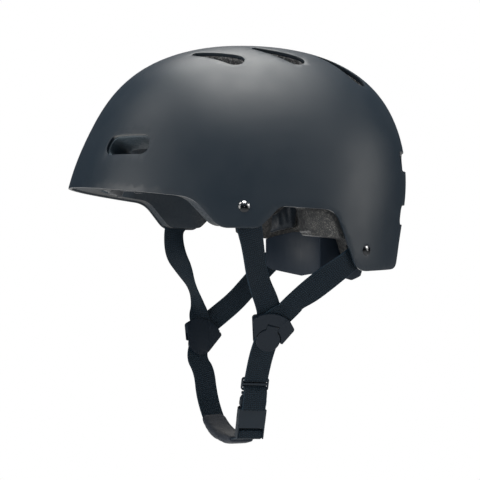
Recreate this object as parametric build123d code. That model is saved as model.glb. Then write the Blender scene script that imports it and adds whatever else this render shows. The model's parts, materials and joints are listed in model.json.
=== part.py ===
"""Skateboard helmet. The face looks along -Y, the wearer's left is +X and up is +Z, in millimetres.

The origin is the centre of the head opening, at the height of the brim.
"""
from build123d import *
import math
import os
import numpy as np

# Driving dimensions of the helmet body
LENGTH = 281.0           # front to back
WIDTH = 212.0            # over the shell, side to side
HEIGHT = 158.0           # ear point to crown
EAR_Y = 22.0             # ear point, the centre that the shell's profile is drawn from
EAR_Z = -42.0
WALL = 2.8               # shell
FOAM = 22.0              # liner
GAP = 0.3                # between shell and liner, and between other curved pieces
PAD = 7.0                # comfort pads at their crown
PAD_EDGE = 2.2           # and at their edges
HOOK = 1.0               # hook patches

# Webbing, rivets, dividers and buckle
WEB_WIDTH = 19.0
WEB = 1.4
STRAP_DROP = 200.0       # brim to the underside of the chin strap
RIVET_RADIUS = 4.2
RIVET_RISE = 1.5
SHANK_RADIUS = 2.2
CLEARANCE = 0.1
WASHER_RADIUS = 6.5
WASHER = 1.4
OVERRUN = 60.0           # how far cutting solids run past what they cut
SEAT = 0.7               # webbing inside the shell stands this far off its curved wall
FULLNESS = 0.064         # how much squarer than an ellipse the shell is, seen from the front

# Radius of the shell's profile about the ear point, as a share of the length, at angles from the
# front, over the crown, to the back
profile_shares = [(-12, 0.592), (13, 0.594), (30, 0.598), (47, 0.610), (65, 0.591), (85, 0.563),
                  (105, 0.557), (125, 0.543), (145, 0.483), (162, 0.4235), (180, 0.3833),
                  (196, 0.380), (214, 0.380)]


def natural_spline(points):
    """Returns the natural cubic spline through points of angle and value."""
    knots = np.array([point[0] for point in points], float)
    values = np.array([point[1] for point in points], float)
    count = len(knots)
    steps = np.diff(knots)
    matrix = np.eye(count)
    right = np.zeros(count)
    for i in range(1, count - 1):
        matrix[i, i - 1:i + 2] = steps[i - 1], 2 * (steps[i - 1] + steps[i]), steps[i]
        right[i] = 6 * (values[i + 1] - values[i]) / steps[i] - 6 * (values[i] - values[i - 1]) / steps[i - 1]
    bend = np.linalg.solve(matrix, right)

    def value(at):
        i = int(np.clip(np.searchsorted(knots, at) - 1, 0, count - 2))
        ahead, behind = knots[i + 1] - at, at - knots[i]
        cubic = (bend[i] * ahead ** 3 + bend[i + 1] * behind ** 3) / (6 * steps[i])
        first = (values[i] / steps[i] - bend[i] * steps[i] / 6) * ahead
        second = (values[i + 1] / steps[i] - bend[i + 1] * steps[i] / 6) * behind
        return float(cubic + first + second)

    return value


profile = natural_spline(profile_shares)
crown_share = profile(90)


def on_dome(fan, tilt):
    """A point of the shell: fan is the angle from the front over the crown, tilt the one to the left."""
    f, t = math.radians(fan), math.radians(tilt)
    reach = profile(fan) * math.cos(t) * (1 + FULLNESS * math.sin(t) ** 2)
    return Vector(WIDTH / 2 * math.sin(t) * (1 + FULLNESS * math.cos(t) ** 2),
                  EAR_Y - LENGTH * reach * math.cos(f),
                  EAR_Z + HEIGHT * reach / crown_share * math.sin(f))


def dome_normal(fan, tilt):
    step = 0.5
    along = on_dome(fan + step, tilt) - on_dome(fan - step, tilt)
    across = on_dome(fan, tilt + step) - on_dome(fan, tilt - step)
    return across.cross(along).normalized()


def in_dome(fan, tilt, depth):
    return on_dome(fan, tilt) - dome_normal(fan, tilt) * depth


def angles_at(y, z, side=1):
    """The fan and tilt of the shell's point at that y and z, on the left with side 1."""
    forward = (EAR_Y - y) / LENGTH
    up = (z - EAR_Z) * crown_share / HEIGHT
    fan = math.degrees(math.atan2(up, forward)) % 360
    wanted = math.hypot(forward, up) / profile(fan)
    low, high = 0.0, 90.0
    while high - low > 1e-9:
        tilt = (low + high) / 2
        t = math.radians(tilt)
        if math.cos(t) * (1 + FULLNESS * math.sin(t) ** 2) > wanted:
            low = tilt
        else:
            high = tilt
    return fan, side * low


def side_place(y_share, z_share):
    """A place in the side view, as shares of the length and the height."""
    return LENGTH * y_share, HEIGHT * z_share


def skin(fans, tilts, depth_at):
    points = [[in_dome(fan, tilt, depth_at(fan, tilt)) for tilt in tilts] for fan in fans]
    return Face.make_surface_from_array_of_points(points, tol=0.01, min_deg=3, max_deg=5)


def between(outer, inner):
    """The solid between two patches that have the same corners, closed by ruled sides."""
    sides = []
    for edge in outer.edges():
        other = min(inner.edges(), key=lambda e: (e.position_at(0.5) - edge.position_at(0.5)).length)
        sides.append(Face.make_surface_from_curves(edge, other))
    solid = Solid(Shell([outer, inner, *sides]))
    if solid.volume < 0:
        solid = Solid(Shell([-face for face in solid.faces()]))
    return solid


def layer(outer_depth, inner_depth, fans=(-12, 213), tilts=(-87.4, 87.4), counts=(29, 27)):
    """A layer of the dome between two depths under the shell's outer face."""
    fan_list = np.linspace(*fans, counts[0])
    tilt_list = np.linspace(*tilts, counts[1])
    return between(skin(fan_list, tilt_list, lambda fan, tilt: outer_depth),
                   skin(fan_list, tilt_list, lambda fan, tilt: inner_depth))


def skin_plane(fan, tilt, depth=0.0, along=None):
    """A plane on the dome with its z outwards and its x along a direction, or to the rear."""
    normal = dome_normal(fan, tilt)
    toward = along if along is not None else Vector(0, 0, 1).cross(normal)
    flat = (toward - normal * toward.dot(normal)).normalized()
    return Plane(origin=in_dome(fan, tilt, depth), x_dir=flat, z_dir=normal)


def both_sides(left):
    return [left, mirror(left, about=Plane.YZ)]


def side_prism(corner_shares, radii):
    """What lies above a lower edge drawn in the side view, right across the helmet."""
    corners = [side_place(*share) for share in corner_shares]
    top = EAR_Z + HEIGHT + OVERRUN
    edge = FilletPolyline(*corners, radius=list(radii))
    closing = Polyline(corners[-1], (corners[-1][0], top), (corners[0][0], top), corners[0])
    face = make_face(Curve() + [edge, closing])
    return extrude(Plane.YZ * face, amount=WIDTH / 2 + OVERRUN, both=True)


# Outer shell

shell_rim_shares = [(-0.605, 0.017), (-0.2206, -0.0665), (-0.153, -0.210), (-0.0498, -0.210),
                    (0.0071, -0.1076), (0.162, -0.1234), (0.2317, -0.4177), (0.4021, -0.4114),
                    (0.587, -0.120)]
SHELL_RIM_RADII = (22.0, 14.0, 8.0, 8.0, 14.0, 14.0, 25.0)

SLOT_LENGTH = 41.0
SLOT_HEIGHT = 16.0
SLOT_CORNER = 6.5
SLOT_SLANT = 5.5         # how far the front slot's top corner stands behind its lower one
front_slot_place_share = (-0.3754, 0.190)

REAR_SLOT_LENGTH = 46.0
REAR_SLOT_HEIGHT = 16.0
REAR_SLOT_CORNER = 6.0
REAR_SLOT_ANGLES = ((149.0, 24.0), (169.0, 24.0))

VENT_TIP_RADIUS = 3.5
VENT_TAIL_RADIUS = 8.0
VENT_ANGLES = (((65.2, 17.1), (73.4, 28.2)),
               ((83.0, 17.6), (93.3, 27.2)),
               ((104.4, 16.2), (115.6, 26.2)))

rivet_place_shares = {"front": (-0.089, -0.1108), "rear": (0.262, -0.314)}


def teardrop(length, tip_radius, tail_radius):
    """A flat teardrop, its tip and tail circles centred on x, with their common tangents."""
    lean = math.asin((tail_radius - tip_radius) / length)
    reach, rise = -math.sin(lean), math.cos(lean)
    tip, tail = -length / 2, length / 2
    flanks = Polygon((tip + tip_radius * reach, tip_radius * rise), (tip + tip_radius * reach, -tip_radius * rise),
                     (tail + tail_radius * reach, -tail_radius * rise),
                     (tail + tail_radius * reach, tail_radius * rise), align=None)
    return Pos(tip, 0) * Circle(tip_radius) + Pos(tail, 0) * Circle(tail_radius) + flanks


def vent_cutters(margin):
    """The left side's top vents, smaller by a margin all round."""
    cutters = []
    for tip, tail in VENT_ANGLES:
        start, end = on_dome(*tip), on_dome(*tail)
        middle = skin_plane((tip[0] + tail[0]) / 2, (tip[1] + tail[1]) / 2, along=end - start)
        outline = teardrop((end - start).length, VENT_TIP_RADIUS - margin, VENT_TAIL_RADIUS - margin)
        cutters.append(extrude(middle * outline, amount=FOAM * 2, both=True))
    return cutters


def front_slot_cutter(margin):
    plane = skin_plane(*angles_at(*side_place(*front_slot_place_share)))
    half, rise = SLOT_LENGTH / 2 - margin, SLOT_HEIGHT / 2 - margin
    corners = [(-half, -rise), (half, -rise), (half, rise), (-half + SLOT_SLANT, rise)]
    outline = make_face(FilletPolyline(*corners, radius=SLOT_CORNER - margin, close=True))
    return extrude(plane * outline, amount=FOAM * 2, both=True)


def rear_slot_cutters(margin, depth):
    cutters = []
    for fan, tilt in REAR_SLOT_ANGLES:
        plane = skin_plane(fan, tilt, depth=depth)
        outline = RectangleRounded(REAR_SLOT_LENGTH - 2 * margin, REAR_SLOT_HEIGHT - 2 * margin,
                                   REAR_SLOT_CORNER - margin)
        cutters.append(extrude(plane * outline, amount=OVERRUN / 2))
    return cutters


def rivet_plane(place, depth=0.0):
    return skin_plane(*angles_at(*side_place(*rivet_place_shares[place])), depth=depth)


def rivet_holes(radius):
    return [rivet_plane(place) * Cylinder(radius, 2 * FOAM) for place in rivet_place_shares]


def make_outer_shell():
    shell = layer(0, WALL) & side_prism(shell_rim_shares, SHELL_RIM_RADII)
    left = vent_cutters(0) + [front_slot_cutter(0)] + rear_slot_cutters(0, 4 * WALL)
    left += rivet_holes(SHANK_RADIUS + CLEARANCE)
    for cutter in left:
        shell -= both_sides(cutter)
    return shell


# Foam liner

liner_rim_shares = [(-0.605, 0.0272), (-0.2235, -0.0557), (-0.1516, -0.200), (-0.052, -0.200),
                    (0.0053, -0.1013), (0.0783, -0.1013), (0.089, -0.2437), (0.1975, -0.2595),
                    (0.2331, -0.4076), (0.400, -0.4013), (0.587, -0.110)]
LINER_RIM_RADII = (20.0, 12.5, 7.0, 6.0, 4.0, 5.0, 3.0, 12.0, 24.0)
LINER_OUT = WALL + GAP
LINER_IN = LINER_OUT + FOAM
VENT_STEP = 1.2          # the liner's vents are this much smaller all round
REAR_RECESS = 5.5        # depth of the liner's blind recesses behind the rear slots
STRAP_DEPTH = WALL + SEAT + WEB / 2
POCKET_MARGIN = 1.5
POCKET_TOP = 13.0
POCKET_DEPTH = STRAP_DEPTH + WEB / 2 + SEAT + WASHER + 2.0


def strap_pocket(place, side):
    """The room for a strap end, its washer and the rivet's tail, open at the liner's rim."""
    width = WEB_WIDTH + 2 * POCKET_MARGIN
    run = OVERRUN
    flat = rivet_plane(place) * Rot(0, 0, STRAP_TURNS[place, side])
    pocket = flat * Pos(0, (POCKET_TOP - run) / 2, FOAM / 2 - POCKET_DEPTH) * Box(width, POCKET_TOP + run, FOAM)
    return pocket if side == 1 else mirror(pocket, about=Plane.YZ)


# The dial and the cradle that it tightens
DIAL_INSET = 47.5        # from the back of the shell to the middle of the racks
DIAL_Y = LENGTH / 2 - DIAL_INSET
DIAL_Z = -51.0
KNOB_RADIUS = 14.0
KNOB_DEPTH = 8.0
RELIEF_MARGIN = 3.5
HOUSING_WIDTH = 46.0
HOUSING_HEIGHT = 22.0
HOUSING_WALL = 1.6
RACK = 2.4               # thickness of the racks and of the cradle arms
COVER = 1.6
KNOB_GAP = 0.4
HANGER_WIDTH = 18.0
HANGER = 1.8
HANGER_GAP = 0.8
STUD_RADIUS = 3.2
STUD_LENGTH = 9.0
STUD_Z = 6.0

KNOB_FACE = DIAL_Y + RACK / 2 + GAP + COVER + KNOB_GAP


def dial_relief():
    side = 2 * (KNOB_RADIUS + RELIEF_MARGIN)
    depth = KNOB_FACE + KNOB_DEPTH + RELIEF_MARGIN
    low = DIAL_Z - OVERRUN
    high = DIAL_Z + KNOB_RADIUS + RELIEF_MARGIN
    block = Pos(0, depth / 2, (low + high) / 2) * Box(side, depth, high - low)
    block = fillet(block.edges().filter_by(Axis.Y).sort_by(Axis.Z)[-2:], KNOB_RADIUS)
    depth = KNOB_FACE + RELIEF_MARGIN / 2
    high = DIAL_Z + HOUSING_HEIGHT / 2 + RELIEF_MARGIN
    wide = HOUSING_WIDTH + 2 * RELIEF_MARGIN
    return block + Pos(0, depth / 2, (low + high) / 2) * Box(wide, depth, high - low)


def liner_inner_y(z):
    """Where the liner's inner face crosses the middle plane at the back, at that height."""
    low, high = 120.0, 200.0
    while high - low > 1e-6:
        fan = (low + high) / 2
        if in_dome(fan, 0, LINER_IN).Z > z:
            low = fan
        else:
            high = fan
    return in_dome(low, 0, LINER_IN).Y


def hanger_stud(radius, length):
    return Pos(0, liner_inner_y(STUD_Z) - HANGER_GAP, STUD_Z) * Rot(-90, 0, 0) * Cylinder(
        radius, length, align=(Align.CENTER, Align.CENTER, Align.MIN))


STRAP_TURNS = {("front", 1): 13.0, ("front", -1): -32.0, ("rear", 1): -54.0, ("rear", -1): -54.0}


def make_eps_liner():
    liner = layer(LINER_OUT, LINER_IN) & side_prism(liner_rim_shares, LINER_RIM_RADII)
    left = vent_cutters(VENT_STEP) + [front_slot_cutter(VENT_STEP)]
    left += rear_slot_cutters(0, LINER_OUT + REAR_RECESS)
    for cutter in left:
        liner -= both_sides(cutter)
    for place, side in STRAP_TURNS:
        liner -= strap_pocket(place, side)
    liner -= dial_relief()
    liner -= hanger_stud(STUD_RADIUS + CLEARANCE, STUD_LENGTH + GAP)
    return liner


# Comfort pads and the hook patches that hold them

PAD_SPANS = {"brow_pad": ((16.5, 29.0), (-38.0, 38.0)),
             "crown_pad": ((68.0, 112.0), (-17.0, 17.0)),
             "side_pad": ((56.0, 122.0), (56.0, 70.0)),
             "nape_pad": ((146.0, 172.0), (58.0, 74.0))}
PAD_BASE = LINER_IN + HOOK + GAP
HOOK_RADIUS = 9.0
HOOK_SPAN = 11.0         # degrees of the dome that a hook patch is cut from


def make_pad(name):
    """A pad with a crowned face and thin edges, on the liner's inner face."""
    fans, tilts = PAD_SPANS[name]

    def crown(fan, tilt):
        u = 2 * (fan - fans[0]) / (fans[1] - fans[0]) - 1
        v = 2 * (tilt - tilts[0]) / (tilts[1] - tilts[0]) - 1
        return PAD_BASE + PAD_EDGE + (PAD - PAD_EDGE) * (1 - u ** 4) * (1 - v ** 4)

    fan_list = np.linspace(*fans, 11)
    tilt_list = np.linspace(*tilts, 11)
    return between(skin(fan_list, tilt_list, lambda fan, tilt: PAD_BASE), skin(fan_list, tilt_list, crown))


def hook_places():
    (low, high), (left, right) = PAD_SPANS["brow_pad"]
    middle = (low + high) / 2
    places = [(middle, 0.0), (middle, left / 2), (middle, right / 2)]
    (low, high), _ = PAD_SPANS["crown_pad"]
    places += [((3 * low + high) / 4, 0.0), ((low + 3 * high) / 4, 0.0)]
    for name in ("side_pad", "nape_pad"):
        (low, high), (left, right) = PAD_SPANS[name]
        for side in (1, -1):
            places.append(((low + high) / 2, side * (left + right) / 2))
    return places


def make_pad_hooks():
    hooks = []
    for fan, tilt in hook_places():
        fans, tilts = (fan - HOOK_SPAN, fan + HOOK_SPAN), (tilt - HOOK_SPAN, tilt + HOOK_SPAN)
        patch = layer(LINER_IN + CLEARANCE, LINER_IN + CLEARANCE + HOOK, fans, tilts, (6, 6))
        hooks.append(patch & skin_plane(fan, tilt, depth=LINER_IN) * Cylinder(HOOK_RADIUS, FOAM))
    return Compound(children=hooks)


# Strap rivets and their washers


def rivet(place):
    """A low domed head on the shell, its shank and the tail that clinches the washer."""
    head_ball = (RIVET_RADIUS ** 2 + RIVET_RISE ** 2) / (2 * RIVET_RISE)
    head = Pos(0, 0, RIVET_RISE - head_ball) * Sphere(head_ball)
    head &= Pos(0, 0, RIVET_RISE / 2) * Cylinder(RIVET_RADIUS, RIVET_RISE)
    grip = WASHER_DEPTH + WASHER
    shank = Cylinder(SHANK_RADIUS, grip, align=(Align.CENTER, Align.CENTER, Align.MAX))
    tail = Pos(0, 0, -grip) * Cylinder(TAIL_RADIUS, TAIL, align=(Align.CENTER, Align.CENTER, Align.MAX))
    return rivet_plane(place) * (head + shank + fillet(tail.edges().sort_by(Axis.Z)[0], TAIL / 2))


WASHER_DEPTH = STRAP_DEPTH + WEB / 2 + SEAT
TAIL_RADIUS = 3.4
TAIL = 1.2


def washer(place):
    ring = Cylinder(WASHER_RADIUS, WASHER, align=(Align.CENTER, Align.CENTER, Align.MAX))
    ring -= Cylinder(SHANK_RADIUS + CLEARANCE, 3 * WASHER)
    return rivet_plane(place, WASHER_DEPTH) * ring


def make_four(make_one):
    return Compound(children=[solid for place in rivet_place_shares for solid in both_sides(make_one(place))])


# Straps


def ribbon(stations, width, thickness):
    """A flat strap through stations of point and outward direction."""
    points = [Vector(*point) for point, _ in stations]
    sections = []
    for i, (point, (_, outward)) in enumerate(zip(points, stations)):
        ahead = points[min(i + 1, len(points) - 1)] - point
        behind = point - points[max(i - 1, 0)]
        if ahead.length == 0:
            ahead = behind
        if behind.length == 0:
            behind = ahead
        along = (ahead.normalized() + behind.normalized()).normalized()
        across = along.cross(Vector(*outward)).normalized()
        sections.append(Plane(origin=point, x_dir=across, z_dir=along) * Rectangle(width, thickness))
    return loft(sections, ruled=True)


def under_shell(y, z, side):
    angles = angles_at(y, z, side)
    return tuple(in_dome(*angles, STRAP_DEPTH)), tuple(dome_normal(*angles))


def hang(x_share, y_share, drop_share):
    """A place below the helmet: shares of the half width, the length and the strap's drop."""
    return WIDTH / 2 * x_share, LENGTH * y_share, -STRAP_DROP * drop_share


def leaning_plane(place, up, side):
    """A plane with y up along a direction and z outwards to that side; x is then rearward on the left."""
    up = Vector(*up).normalized()
    out = Vector(side, 0, 0)
    out = (out - up * out.dot(up)).normalized()
    return Plane(origin=place, x_dir=up.cross(out), z_dir=out)


def plane_point(plane, x, y, z):
    return tuple(plane.from_local_coords(Vector(x, y, z)))


# Strap dividers. Their planes have y up and z outwards; the straps lie between base and band.

DIVIDER_RADIUS = 21.6
DIVIDER_TIP = 2.6
DIVIDER_SPREAD = 47.0
DIVIDER_BASE = 1.6
DIVIDER_BAND = 2.4
BAND_WIDTH = 11.7
POST_INSET = 0.4
DISC_RADIUS = 9.4
LOCK = 2.0
BARREL_LENGTH = 9.2
JOURNAL_RADIUS = 0.6
JOURNAL_LENGTH = 1.8
JOURNAL_CLEARANCE = 0.05
LOCK_RANGE = 75.0
DIVIDER_ROOM = 2 * WEB + 4 * CLEARANCE
BAND_LOW = DIVIDER_BASE + DIVIDER_ROOM
BAND_INNER = DIVIDER_RADIUS - BAND_WIDTH
BARREL_RADIUS = DIVIDER_BAND / 2
HINGE_Y = BAND_INNER + BARREL_RADIUS
HINGE_Z = BAND_LOW + BARREL_RADIUS
FRONT_LAYER = DIVIDER_BASE + CLEARANCE + WEB / 2
REAR_LAYER = FRONT_LAYER + WEB + CLEARANCE
divider_places = {1: hang(0.660, 0.006, 0.581), -1: hang(-0.708, -0.0534, 0.66)}
divider_up_shares = {1: (0.33, 0.25, 0.92), -1: (-0.30, 0.34, 0.89)}


def divider_plane(side):
    return leaning_plane(divider_places[side], divider_up_shares[side], side)


def divider_tip():
    reach, spread = DIVIDER_RADIUS - DIVIDER_TIP, math.radians(DIVIDER_SPREAD)
    return reach * math.sin(spread), reach * math.cos(spread)


def divider_outline():
    """A shield: a round foot, two tips on a wide arc, and the arc itself."""
    tip_x, tip_y = divider_tip()
    circles = [Circle(DISC_RADIUS + DIVIDER_TIP / 2)]
    circles += [Pos(x, tip_y) * Circle(DIVIDER_TIP) for x in (tip_x, -tip_x)]
    shield = make_face(make_hull([edge for circle in circles for edge in circle.edges()]))
    above = Pos(0, tip_y + DIVIDER_RADIUS / 2) * Rectangle(2 * tip_x, DIVIDER_RADIUS)
    return shield + (Circle(DIVIDER_RADIUS) & above)


def make_divider(side):
    """The base plate, the arched band over the straps, its posts and the seat of the lock's hinge."""
    outline = divider_outline()
    upper = Pos(0, DIVIDER_RADIUS / 2) * Rectangle(3 * DIVIDER_RADIUS, DIVIDER_RADIUS)
    arch = outline & (Circle(DIVIDER_RADIUS) - Circle(BAND_INNER)) & upper
    band = extrude(Pos(0, 0, BAND_LOW) * arch, amount=DIVIDER_BAND)
    posts = extrude(Pos(0, 0, DIVIDER_BASE) * arch, amount=DIVIDER_ROOM)
    between_posts = 2 * (divider_tip()[0] - POST_INSET)
    posts -= Pos(0, DIVIDER_RADIUS / 2, BAND_LOW / 2) * Box(between_posts, 2 * DIVIDER_RADIUS, 2 * BAND_LOW)
    body = extrude(outline, amount=DIVIDER_BASE) + band + posts
    notch = BARREL_RADIUS + GAP
    body -= Pos(0, HINGE_Y - notch / 2, HINGE_Z) * Box(BARREL_LENGTH + 2 * GAP, 3 * notch, 2 * notch)
    hole = JOURNAL_RADIUS + JOURNAL_CLEARANCE
    length = BARREL_LENGTH + 2 * JOURNAL_LENGTH + 2 * GAP
    body -= Pos(0, HINGE_Y, HINGE_Z) * Rot(0, 90, 0) * Cylinder(hole, length)
    return divider_plane(side) * body


def make_divider_lock(side):
    """The round cover that clamps the straps, hung on two journals in the band."""
    disc = extrude(Circle(DISC_RADIUS), amount=LOCK)
    disc = fillet(disc.edges().sort_by(Axis.Z)[-1], LOCK / 2)
    lift = BAND_LOW + DIVIDER_BAND - LOCK
    neck_low = DISC_RADIUS / 2
    neck = Pos(0, (neck_low + HINGE_Y) / 2, LOCK / 2) * Box(BARREL_LENGTH, HINGE_Y - neck_low, LOCK)
    lock = Pos(0, 0, lift) * (disc + neck)
    barrel = Cylinder(BARREL_RADIUS, BARREL_LENGTH) + Cylinder(JOURNAL_RADIUS, BARREL_LENGTH + 2 * JOURNAL_LENGTH)
    lock += Pos(0, HINGE_Y, HINGE_Z) * Rot(0, 90, 0) * barrel
    return divider_plane(side) * lock


# Straps. Each has stations inside the shell as shares of the side view, then hanging places with the
# way that they face, then places in the divider's plane.

front_under_shares = {1: [(-0.0979, -0.0443), (-0.089, -0.1108), (-0.0801, -0.171), (-0.073, -0.215)],
                      -1: [(-0.067, -0.052), (-0.089, -0.1108), (-0.1105, -0.171), (-0.127, -0.215)]}
front_hang_shares = {1: [((0.891, -0.0577, 0.2325), (1, 0, 0)), ((0.825, -0.0388, 0.353), (1, 0, 0))],
                     -1: [((-0.902, -0.119, 0.272), (-1, 0, 0)), ((-0.877, -0.090, 0.343), (-0.8, 0.6, 0)),
                          ((-0.849, -0.068, 0.4145), (-0.42, 0.9, 0)), ((-0.815, -0.055, 0.4845), (-0.6, 0.8, 0))]}
rear_under_shares = [(0.2907, -0.277), (0.262, -0.314), (0.233, -0.351), (0.2035, -0.3875)]
rear_hang_shares = {1: [((0.844, 0.164, 0.345), (1, 0, 0)), ((0.821, 0.1103, 0.403), (1, 0, 0)),
                        ((0.797, 0.0562, 0.4615), (1, 0, 0))],
                    -1: [((-0.877, 0.167, 0.3445), (-1, 0, 0)), ((-0.845, 0.118, 0.415), (-1, 0, 0)),
                         ((-0.81, 0.0676, 0.485), (-1, 0, 0))]}
divider_entry_shares = {"front": [(-0.290, 1.204), (-0.125, 0.648), (-0.125, 0.320)],
                        "rear": [(0.398, 1.343), (0.157, 0.972), (-0.116, 0.579)]}
divider_layers = {"front": FRONT_LAYER, "rear": REAR_LAYER}


def in_divider(side, x_share, y_share, height):
    plane = divider_plane(side)
    place = plane_point(plane, side * DIVIDER_RADIUS * x_share, DIVIDER_RADIUS * y_share, height)
    return place, tuple(plane.z_dir)


def anchored_stations(place, side):
    under = front_under_shares[side] if place == "front" else rear_under_shares
    hanging = front_hang_shares[side] if place == "front" else rear_hang_shares[side]
    stations = [under_shell(*side_place(*share), side) for share in under]
    stations += [(hang(*share), outward) for share, outward in hanging]
    height = divider_layers[place]
    return stations + [in_divider(side, *share, height) for share in divider_entry_shares[place]]


def make_anchored_strap(place, side):
    strap = ribbon(anchored_stations(place, side), WEB_WIDTH, WEB)
    hole = rivet_plane(place) * Cylinder(SHANK_RADIUS + CLEARANCE, 2 * FOAM)
    return strap - (hole if side == 1 else mirror(hole, about=Plane.YZ))


# Side-release buckle. Its plane has x to the rear, y up along the strap and z outwards, with y = 0
# where the upper half enters the lower one.

BUCKLE_WIDTH = 22.0
ADJUSTER_HIGH = 12.3
ADJUSTER_LOW = 1.8
ADJUSTER = 2.2
ADJUSTER_BAR = 1.8
SLOT_ROOM = 2.6
SLOT_SPAN = 19.6
SHOULDER_WIDTH = 14.0
GUIDE_WIDTH = 3.0
GUIDE_REACH = 16.0
PRONG_X = 5.6
PRONG_ROOT = 1.0
PRONG = 4.4
PRONG_RANGE = 9.0
LOWER_HALF = 6.8
LOWER_REACH = 36.6
COLLAR = 2.0
COLLAR_WIDTH = 18.4
WAIST_WIDTH = 14.8
WINDOW_LOW = 13.0
CAVITY_WIDTH = 16.6
CAVITY = 4.8
BAR_Y = -33.5
BAR_HEIGHT = 5.6
BAR = 3.0
ARM = 1.2
buckle_place = hang(0.528, -0.0153, 0.801)
buckle_up_share = (0.204, 0.054, 0.977)


def buckle_plane():
    return leaning_plane(buckle_place, buckle_up_share, 1)


def make_buckle_male():
    """The adjuster's frame with its two slots, the shoulder and the guide between the prongs."""
    middle = (ADJUSTER_HIGH + ADJUSTER_LOW) / 2
    height = ADJUSTER_HIGH - ADJUSTER_LOW
    frame = extrude(Pos(0, middle) * RectangleRounded(BUCKLE_WIDTH, height, ADJUSTER), amount=ADJUSTER / 2, both=True)
    offset = (SLOT_ROOM + ADJUSTER_BAR) / 2
    for place in (middle - offset, middle + offset):
        frame -= Pos(0, place) * Box(SLOT_SPAN, SLOT_ROOM, 2 * ADJUSTER)
    frame = chamfer(frame.faces().sort_by(Axis.Z)[-1].outer_wire().edges(), ADJUSTER / 6)
    shoulder_high = ADJUSTER_LOW + ADJUSTER_BAR / 2
    frame += Pos(0, (shoulder_high + PRONG_ROOT / 2) / 2) * Box(SHOULDER_WIDTH, shoulder_high - PRONG_ROOT / 2, ADJUSTER)
    guide = Pos(0, -GUIDE_REACH / 2) * Box(GUIDE_WIDTH, GUIDE_REACH + 2 * PRONG_ROOT, ADJUSTER)
    frame += chamfer(guide.edges().group_by(Axis.Y)[0].filter_by(Axis.Z), GUIDE_WIDTH / 4)
    return buckle_plane() * frame


prong_shares = [(0.45, -0.081), (0.45, -1.0), (0.70, -1.02), (0.93, -0.96), (1.02, -0.78), (1.01, -0.40),
                (0.90, -0.215), (0.66, -0.20), (0.64, -0.081)]


def make_prong(side):
    """A springy arm with its thumb pad and catch, on the rear with side 1."""
    width, reach = BUCKLE_WIDTH / 2 - 2 * ARM / 3, WINDOW_LOW - 2 * GAP
    corners = [(width * x, reach * y) for x, y in prong_shares]
    arm = make_face(Polyline(*corners, close=True)) + Pos(PRONG_X, -PRONG_ROOT) * Circle(PRONG_ROOT)
    prong = extrude(arm, amount=PRONG / 2, both=True)
    outer = prong.edges().filter_by(Axis.Z).sort_by(Axis.X)[-3:]
    prong = fillet(outer, PRONG_ROOT / 2)
    if side == -1:
        prong = mirror(prong, about=Plane.YZ)
    return buckle_plane() * prong


female_shares = [(0.836, 0.0), (0.836, -0.055), (0.673, -0.096), (0.673, -0.285), (0.99, -0.352),
                 (0.99, -0.59), (0.98, -0.66), (0.98, -1.0)]


def make_buckle_female():
    """A housing open at the top and at the sides for the prongs, with a strap bar below."""
    right = [(BUCKLE_WIDTH / 2 * x, LOWER_REACH * y) for x, y in female_shares]
    left = [(-x, y) for x, y in reversed(right)]
    outline = make_face(Polyline(*right, *left, close=True))
    body = extrude(outline, amount=LOWER_HALF / 2, both=True)
    body = fillet(body.edges().filter_by(Axis.Z), ARM / 2)
    body -= Pos(0, -WINDOW_LOW / 2) * Box(CAVITY_WIDTH, WINDOW_LOW + 2 * CLEARANCE, CAVITY)
    body -= Pos(0, -(WINDOW_LOW + COLLAR) / 2) * Box(2 * BUCKLE_WIDTH, WINDOW_LOW - COLLAR, CAVITY)
    body -= Pos(0, -GUIDE_REACH / 2) * Box(GUIDE_WIDTH + 2 * GAP, GUIDE_REACH + 4 * PRONG_ROOT, ADJUSTER + 2 * GAP)
    span = BUCKLE_WIDTH - 2 * ARM
    bar_top = BAR_Y + BAR_HEIGHT / 2 + 2 * WEB
    run = OVERRUN
    body -= Pos(0, bar_top - run / 2) * Box(span, run, 2 * LOWER_HALF)
    bar = RectangleRounded(BAR_HEIGHT, BAR, BAR / 2 - CLEARANCE)
    body += Pos(0, BAR_Y) * extrude(Plane.YZ * bar, amount=span / 2 + ARM / 2, both=True)
    return buckle_plane() * body


def on_buckle(y, z):
    plane = buckle_plane()
    return plane_point(plane, 0, y, z), tuple(plane.z_dir)


WEAVE_OUT = ADJUSTER / 2 + 2 * CLEARANCE + WEB / 2
TAIL_OUT = LOWER_HALF / 2 + 2 * CLEARANCE + WEB / 2
STRAP_TAIL = 13.0


def threading():
    """The strap over the top bar, behind the middle one, over the low one and down the outer face."""
    middle = (ADJUSTER_HIGH + ADJUSTER_LOW) / 2
    far, near = ADJUSTER_BAR / 2 + SLOT_ROOM - WEB / 4, ADJUSTER_BAR / 2 + WEB / 4
    return [(ADJUSTER_HIGH + WEB, WEAVE_OUT), (middle + far, WEAVE_OUT), (middle + near, -WEAVE_OUT),
            (middle - near, -WEAVE_OUT), (middle - far, WEAVE_OUT), (PRONG_ROOT / 2, TAIL_OUT),
            (-STRAP_TAIL, TAIL_OUT)]


def make_lower_strap_left():
    stations = [in_divider(1, 0.0, 0.278, FRONT_LAYER), in_divider(1, 0.0, -0.60, FRONT_LAYER)]
    stations += [on_buckle(y, z) for y, z in threading()]
    return ribbon(stations, WEB_WIDTH, WEB)


# The right lower strap goes under the chin, through the pad and round the bar of the lower half.

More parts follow.
